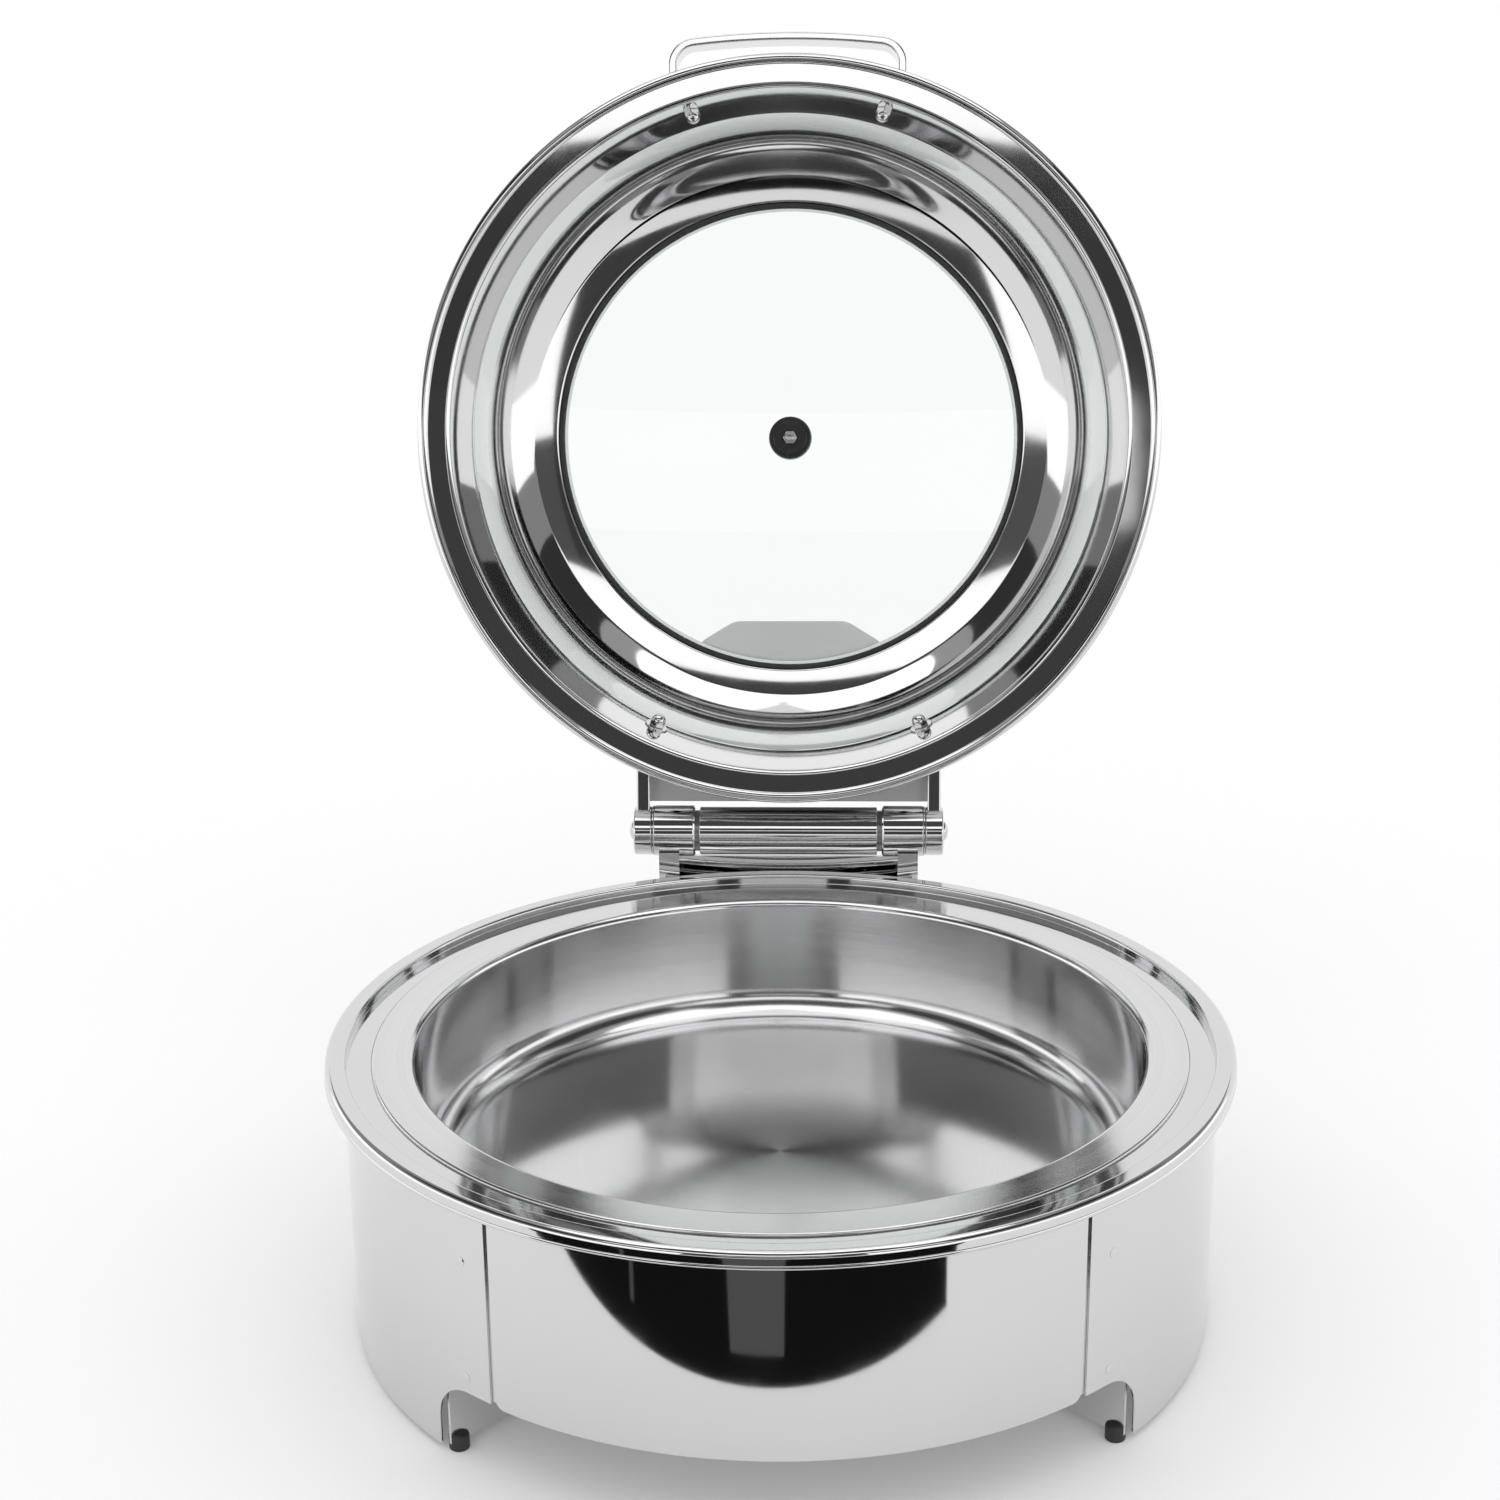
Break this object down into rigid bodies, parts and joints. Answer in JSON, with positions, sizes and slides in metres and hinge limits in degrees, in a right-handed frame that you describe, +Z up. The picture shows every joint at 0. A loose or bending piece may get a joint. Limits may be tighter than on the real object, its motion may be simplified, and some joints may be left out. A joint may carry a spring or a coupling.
{
  "type": "round chafing dish",
  "caption": "Round chafer on a low stand, with a lift-out food pan over a water pan and a domed lid with a round glass window on a rear friction hinge.",
  "frame": {"origin": "on the axis of the round base, on the plane of the table that its rubber feet stand on", "axes": "+Z up, +X to the right as the user faces the front, -Y towards the front where the lid's handle closes, +Y towards the hinge"},
  "size_m": [0.45, 0.5949, 0.6131],
  "materials": {
    "mirror_steel": "mirror-polished stainless steel",
    "satin_steel": "satin stainless steel",
    "brushed_steel": "spin-brushed stainless steel",
    "fastener_steel": "bright stainless steel",
    "window_glass": "clear tempered glass",
    "black_rubber": "matt silicone rubber",
    "black_plastic": "moulded heat-proof plastic",
    "bronze": "sintered bronze",
    "damper_body": "filled nylon"
  },
  "bodies": {
    "root": {"front_apron": "mirror_steel", "rear_apron": "mirror_steel", "left_side_panel": "mirror_steel", "right_side_panel": "mirror_steel", "inner_frame": "satin_steel", "leg_web_front_right": "satin_steel", "leg_web_rear_right": "satin_steel", "leg_web_rear_left": "satin_steel", "leg_web_front_left": "satin_steel", "foot_front_right": "black_rubber", "foot_rear_right": "black_rubber", "foot_rear_left": "black_rubber", "foot_front_left": "black_rubber", "panel_rivets": "mirror_steel", "water_pan": "mirror_steel", "induction_plate": "satin_steel", "hinge_bracket": "mirror_steel", "bracket_screws": "fastener_steel", "bracket_nuts": "fastener_steel", "hinge_centre_tube": "mirror_steel", "hinge_sleeve_left": "mirror_steel", "hinge_sleeve_right": "mirror_steel", "hinge_bush_left": "bronze", "hinge_bush_right": "bronze", "friction_damper_left": "damper_body", "friction_damper_right": "damper_body", "hinge_washers": "fastener_steel"},
    "food_pan": {"food_pan": "brushed_steel"},
    "lid": {"lid_shell": "mirror_steel", "window_gasket": "black_rubber", "window_glass": "window_glass", "window_trim_ring": "mirror_steel", "knob_cap": "black_plastic", "knob_washer": "black_rubber", "knob_screw": "fastener_steel", "knob_nut": "fastener_steel", "lid_handle": "mirror_steel", "handle_bolts": "fastener_steel", "handle_nuts": "fastener_steel", "lid_bracket_plate": "brushed_steel", "lid_arm_left": "mirror_steel", "lid_arm_right": "mirror_steel", "hinge_studs": "fastener_steel", "hinge_stud_washers": "fastener_steel", "hinge_stud_nuts": "fastener_steel", "plate_rivets": "fastener_steel", "hinge_shaft": "fastener_steel", "shaft_bolts": "fastener_steel"}
  },
  "joints": [
    {"name": "lid_hinge", "type": "hinge", "parent": "root", "child": "lid", "pos_m": [0, 0.2305, 0.1654], "axis": [1, 0, 0], "range_deg": [0, 102.7]},
    {"name": "food_pan_lift", "type": "slide", "parent": "root", "child": "food_pan", "axis": [0, 0, 1], "range_m": [0, 0.2]}
  ]
}
